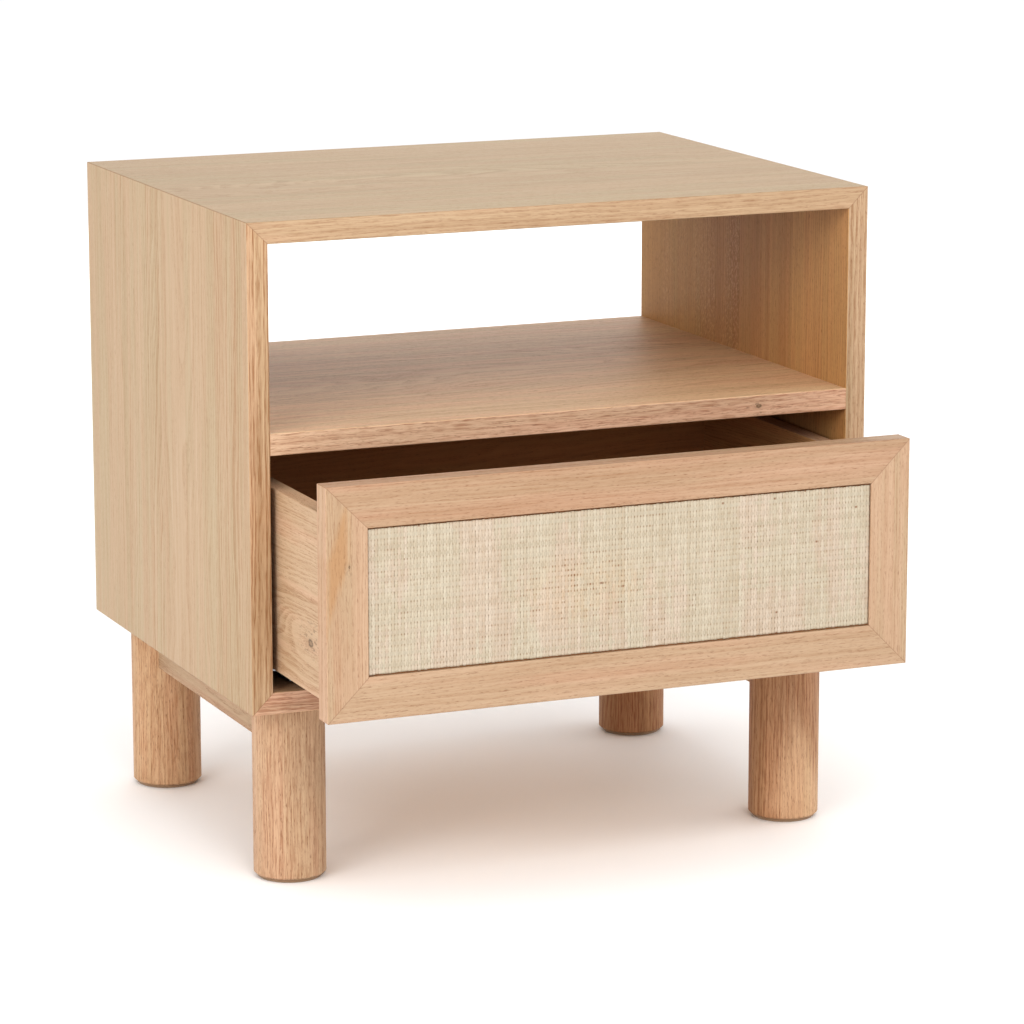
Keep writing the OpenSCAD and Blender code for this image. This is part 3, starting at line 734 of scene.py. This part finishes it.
# A strand's cross-section, as shares of its width and thickness: crowned in front, flatter behind.
SECTION = [(-0.5, 0.3), (-0.48, -0.2), (-0.25, -0.45), (0.25, -0.45), (0.48, -0.2), (0.5, 0.3)]
PALE_CANE, DEEP_CANE = (193, 184, 170), (175, 161, 142)
# The crossing bands are drawn this much darker than the upright strands: painted shade.
CROSSING_PAINTED_SHADE = 0.96
PINK_CANE, OLIVE_CANE = rgb(250, 228, 212), rgb(238, 232, 208)
# The first of these is the brown of painted shade where strands dive under, deepened by dirt; the stain and
# speck colours are the cane's own.
SHADE_AND_DIRT_COLOUR, STAIN_COLOUR, SPECK_COLOUR = rgb(128, 90, 58), rgb(190, 158, 122), rgb(122, 80, 48)
# Where the stain is on the sheet, as shares of its width and height, and how far it reaches in millimetres.
STAIN_MIDDLE = (0.42, 0.45)
STAIN_REACH = (60, 1e6, 30)
STRANDS = 160
ROW_PITCH = 8.6 * MM
STRAND_THICK = 0.32 * MM
WEFT_WIDE = 4.4 * MM
WEFT_THICK = 0.34 * MM
WARP_SWING = 0.16 * MM
WEFT_SWING = 0.18 * MM
STEPS_PER_ROW = 6
STEPS_PER_STRAND = 3


def weave_size():
    """Lowest and highest corner of the woven sheet, and its middle plane's y."""
    low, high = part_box("rattan_panel")
    return low, high, (low.y + high.y) / 2


def strand_pitch():
    """From one upright strand to the next."""
    low, high, _ = weave_size()
    return (high.x - low.x) / STRANDS


def row_heights(low, high):
    """z of each weft row, spaced evenly about the middle."""
    rows = int((high.z - low.z) / ROW_PITCH)
    first = (low.z + high.z - (rows - 1) * ROW_PITCH) / 2
    return [first + row * ROW_PITCH for row in range(rows)]


def ribbon(vertices, faces, path, wide, thick, across, crown):
    """Adds a closed ribbon along path, wide in the direction across, with its round face towards crown."""
    faces.extend(tube_faces(len(vertices), len(path), len(SECTION)))
    for spot, width in zip(path, wide):
        for side, lift in SECTION:
            vertices.append(spot + across * (side * width) - crown * (lift * thick))


def warp_swing(strand, z, rows):
    """How far forward a warp strand lies at height z: fully over or under at a weft row, level between."""
    nearest = min(range(len(rows)), key=lambda row: abs(rows[row] - z))
    share = min(abs(rows[nearest] - z) / (ROW_PITCH / 2), 1.0)
    ease = math.cos(share * math.pi / 2) ** 1.3
    return ease if (strand + nearest) % 2 else -ease


def weave_warp(chance):
    """The upright strands: split cane with a crowned face, laid edge to edge."""
    low, high, plane = weave_size()
    rows = row_heights(low, high)
    pitch = strand_pitch()
    samples = int((high.z - low.z) / ROW_PITCH * STEPS_PER_ROW)
    vertices, faces = [], []
    for strand in range(STRANDS):
        middle = low.x + (strand + 0.5) * pitch
        width = pitch * chance.uniform(1.0, 1.05)
        lean, phase = chance.uniform(0.01, 0.04) * pitch, chance.uniform(0, math.tau)
        foot = low.z + chance.uniform(0.0, 0.5) * MM
        head = high.z - chance.uniform(0.0, 0.5) * MM
        path, wide = [], []
        for sample in range(samples + 1):
            z = foot + (head - foot) * sample / samples
            swing = warp_swing(strand, z, rows)
            sway = lean * math.sin(phase + (z - low.z) / (31 * MM))
            path.append(Vector((middle + sway, plane - WARP_SWING * swing, z)))
            wide.append(width * (1.0 - 0.05 * abs(swing)))
        ribbon(vertices, faces, path, wide, STRAND_THICK, Vector((1, 0, 0)), Vector((0, -1, 0)))
    return mesh_piece("rattan_warp", vertices, faces)


def weave_weft(chance):
    """The crossing bands that the strands pass over and under."""
    low, high, plane = weave_size()
    rows = row_heights(low, high)
    pitch = strand_pitch()
    samples = STRANDS * STEPS_PER_STRAND
    vertices, faces = [], []
    for number, level in enumerate(rows):
        width = WEFT_WIDE * chance.uniform(0.92, 1.05)
        tilt, phase = chance.uniform(-0.25, 0.25) * MM, chance.uniform(0, math.tau)
        path, wide = [], []
        for sample in range(samples + 1):
            share = sample / samples
            x = low.x + (high.x - low.x) * share
            at = (x - low.x) / pitch - 0.5
            wave = math.cos(math.pi * at) * (1 if number % 2 else -1)
            z = level + tilt * (share - 0.5) + 0.12 * MM * math.sin(phase + 9 * share)
            path.append(Vector((x, plane - WEFT_SWING * wave, z)))
            wide.append(width)
        ribbon(vertices, faces, path, wide, WEFT_THICK, Vector((0, 0, 1)), Vector((0, -1, 0)))
    return mesh_piece("rattan_weft", vertices, faces)


def weave_grid(graph):
    """Where a place lies in the weave: its x and z, and how many strands and rows it is from the first."""
    low, high, _ = weave_size()
    x, _, z = graph.split(object_place(graph))
    strand_at = graph.math("DIVIDE", graph.math("SUBTRACT", x, low.x / MM), strand_pitch() / MM)
    first_row = row_heights(low, high)[0] / MM
    row_at = graph.math("DIVIDE", graph.math("SUBTRACT", z, first_row), ROW_PITCH / MM)
    return x, z, strand_at, row_at


def cane_colour(graph, sheet, own, cell, fibre, painted_shade):
    """Each strand its own tone, in faint courses, some leaning to pink and some to olive, all dimmed by the
    given factor, which darkens the crossing bands as painted shade.
    """
    bands = graph.noise(sheet, (22, 1, 70), 2, 0.55, 2.0)
    courses = graph.noise(sheet, (120, 1, 9), 2, 0.5, 8.0)
    pale = rgb(*[level * painted_shade for level in PALE_CANE])
    deep = rgb(*[level * painted_shade for level in DEEP_CANE])
    tone = graph.add(
        graph.times(own[0], 0.46), graph.times(cell[0], 0.36), graph.times(fibre, 0.5),
        graph.times(courses, 0.3), -0.42,
    )
    colour = graph.mix(graph.math("ADD", tone, 0.0, clamp=True), pale, deep)
    hue = graph.ramp(graph.add(bands, graph.times(graph.centre(own[2]), 0.16)), 0.45, 0.6)
    return graph.tint(0.35, colour, graph.mix(hue, OLIVE_CANE, PINK_CANE))


def from_stain(graph):
    """How far a place is from the middle of the sheet's brown stain, where 1 is about its rim."""
    low, high, _ = weave_size()
    across, up = STAIN_MIDDLE
    middle = Vector((low.x + across * (high.x - low.x), 0.0, low.z + up * (high.z - low.z))) / MM
    aside = graph.vector("SUBTRACT", object_place(graph), tuple(middle))
    return graph.length(graph.vector("DIVIDE", aside, STAIN_REACH))


def shade_and_stain_cane(graph, colour, sheet, strand_at, row_at, cell):
    """Brown painted shade where a strand dives under, stronger at the lower edge of each row and deepened by
    dirty patches and the stain; the stain's own browning, and a few dark specks.
    """
    row = graph.math("ROUND", row_at)
    off_row = graph.math("SUBTRACT", row_at, row)
    from_row = graph.times(graph.math("ABSOLUTE", off_row), ROW_PITCH / MM)
    edge_far = graph.math("ABSOLUTE", graph.math("SUBTRACT", from_row, WEFT_WIDE / MM / 2))
    across = graph.math("PINGPONG", strand_at, 0.5)
    # Painted shade at the edges of each crossing band, where a strand dives under it, strongest at the
    # strand's sides.
    dive_shade = graph.times(graph.ramp(edge_far, 0.2, 1.3, 1.0, 0.0), graph.ramp(across, 0.02, 0.24, 1.0, 0.15))
    dirt = graph.ramp(graph.noise(sheet, (30, 1, 22), 2, 0.6, 5.0), 0.38, 0.72)
    near = from_stain(graph)
    stain = graph.ramp(near, 0.2, 1.3, 1.0, 0.0)
    half_row = graph.math("FLOOR", graph.times(row_at, 2.0))
    spot = graph.dice(graph.math("FLOOR", strand_at), half_row)
    dots = graph.ramp(spot[0], 0.55, 0.95)
    shade_and_soil = graph.add(0.3, graph.times(dirt, dots, 0.7), graph.times(stain, dots, 1.5))
    # Painted shade: the lower edge of each row is darkened more than the upper, as if lit from above; dirt
    # and the stain deepen it.
    shade_and_dirt = graph.times(dive_shade, graph.ramp(off_row, -0.1, 0.1, 1.0, 0.75), shade_and_soil)
    colour = graph.mix(graph.math("MULTIPLY", shade_and_dirt, 0.9, clamp=True), colour, SHADE_AND_DIRT_COLOUR)
    browned = graph.times(graph.ramp(near, 0.3, 1.4, 0.2, 0.0), graph.add(0.3, cell[1]))
    colour = graph.mix(browned, colour, STAIN_COLOUR)
    speck = graph.times(
        graph.ramp(spot[1], 0.9962, 0.9974), graph.ramp(edge_far, 0.3, 1.3, 1.0, 0.0),
        graph.ramp(across, 0.1, 0.35),
    )
    return graph.mix(graph.times(speck, 0.8), colour, SPECK_COLOUR)


def rattan_material(name, upright):
    """Split cane: each strand its own tone, dull skin, hair-fine fibres, painted shade where it dives under,
    and the crossing bands a little darker as painted shade.
    """
    material, graph, shader = new_material(name)
    x, z, strand_at, row_at = weave_grid(graph)
    strand, row = graph.math("FLOOR", strand_at), graph.math("ROUND", row_at)
    own = graph.dice(strand, 3.0) if upright else graph.dice(row, 5.0)
    cell = graph.dice(strand, row)
    stretch = (0.5, 0.5, 30) if upright else (30, 0.5, 0.5)
    fibre = graph.noise(object_place(graph), stretch, 2, 0.6, graph.times(own[1], 30.0))
    sheet = graph.join(x, 0.0, z)
    colour = cane_colour(graph, sheet, own, cell, fibre, 1.0 if upright else CROSSING_PAINTED_SHADE)
    colour = shade_and_stain_cane(graph, colour, sheet, strand_at, row_at, cell)
    graph.feed(shader.inputs["Base Color"], colour)
    graph.feed(shader.inputs["Roughness"], graph.add(0.46, graph.times(fibre, 0.18)))
    shader.inputs["Specular IOR Level"].default_value = 0.4
    relief(graph, shader, fibre, 0.08 * MM, 0.8)
    return material


def weave_rattan():
    """Real woven cane in place of the plain CAD sheet."""
    chance = random.Random(7)
    warp, weft = weave_warp(chance), weave_weft(chance)
    warp.data.materials.append(rattan_material("rattan_upright", True))
    weft.data.materials.append(rattan_material("rattan_crossing", False))
    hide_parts("rattan_panel")
    for piece in (warp, weft):
        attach(piece, "drawer")


# ---------------------------------------------------------------- studio

FOCAL_LENGTH_IN_WIDTHS = 4.2062
CAMERA_PLACE = (-1.40103, -3.36946, 1.02736)
CAMERA_TURN, CAMERA_TILT = math.radians(23.32), math.radians(11.98)
CAMERA_SHIFT = (-0.01245, 0.00263)
LIGHT_AIM = (0.0, -0.1, 0.3)
FLOOR_REACH = 30.0
SURROUND_LIGHT = 1.07
PICTURE_GAMMA = 0.85


def add_camera():
    """The photograph's viewpoint."""
    data = bpy.data.cameras.new("camera")
    data.sensor_width = 36.0
    data.lens = data.sensor_width * FOCAL_LENGTH_IN_WIDTHS
    data.shift_x, data.shift_y = CAMERA_SHIFT
    data.clip_end = 200.0
    camera = bpy.data.objects.new("camera", data)
    camera.location = CAMERA_PLACE
    camera.rotation_euler = (math.pi / 2 - CAMERA_TILT, 0.0, -CAMERA_TURN)
    bpy.context.scene.collection.objects.link(camera)
    bpy.context.scene.camera = camera


def add_softbox(name, place, size, power):
    """A large square soft light at place, facing the object."""
    data = bpy.data.lights.new(name, "AREA")
    data.size = size
    data.energy = power
    light = bpy.data.objects.new(name, data)
    light.location = place
    light.rotation_euler = (Vector(LIGHT_AIM) - Vector(place)).to_track_quat("-Z", "Y").to_euler()
    light.visible_camera = False
    bpy.context.scene.collection.objects.link(light)


def add_floor():
    """A wide, plain, near-white floor."""
    material, graph, shader = new_material("studio_floor")
    faint = graph.noise(object_place(graph, 1.0), (0.9, 0.9, 0.9), 2)
    grey, white = (0.93, 0.93, 0.93, 1), (0.95, 0.95, 0.95, 1)
    graph.feed(shader.inputs["Base Color"], graph.mix(faint, grey, white))
    shader.inputs["Roughness"].default_value = 0.9
    shader.inputs["Specular IOR Level"].default_value = 0.1
    corners = [(-1, -1), (1, -1), (1, 1), (-1, 1)]
    data = bpy.data.meshes.new("floor")
    data.from_pydata([(x * FLOOR_REACH, y * FLOOR_REACH, 0) for x, y in corners], [], [(0, 1, 2, 3)])
    data.materials.append(material)
    floor = bpy.data.objects.new("floor", data)
    bpy.context.scene.collection.objects.link(floor)


def add_surroundings():
    """White all round, and the photograph's own contrast in how the picture is shown."""
    scene = bpy.context.scene
    world = bpy.data.worlds.new("studio")
    world.use_nodes = True
    background = world.node_tree.nodes["Background"]
    background.inputs["Color"].default_value = (1.0, 1.0, 1.0, 1.0)
    background.inputs["Strength"].default_value = SURROUND_LIGHT
    scene.world = world
    scene.view_settings.view_transform = "Standard"
    scene.view_settings.gamma = PICTURE_GAMMA


def add_lights():
    """Four large soft lights: in front above, to the left, behind, and to the right."""
    add_softbox("front_softbox", (-0.2, -2.8, 2.4), size=1.6, power=45)
    add_softbox("left_softbox", (-2.6, -1.8, 1.4), size=1.6, power=36)
    add_softbox("back_softbox", (1.3, 3.1, 1.2), size=2.0, power=14)
    add_softbox("right_softbox", (3.0, -0.45, 0.8), size=1.6, power=14)


finish_carcass()
finish_legs()
finish_leg_rails()
finish_drawer_front()
finish_drawer_box()
finish_panels()
finish_beech()
finish_fittings()
wind_spring()
weave_rattan()
add_floor()
add_surroundings()
add_lights()
add_camera()
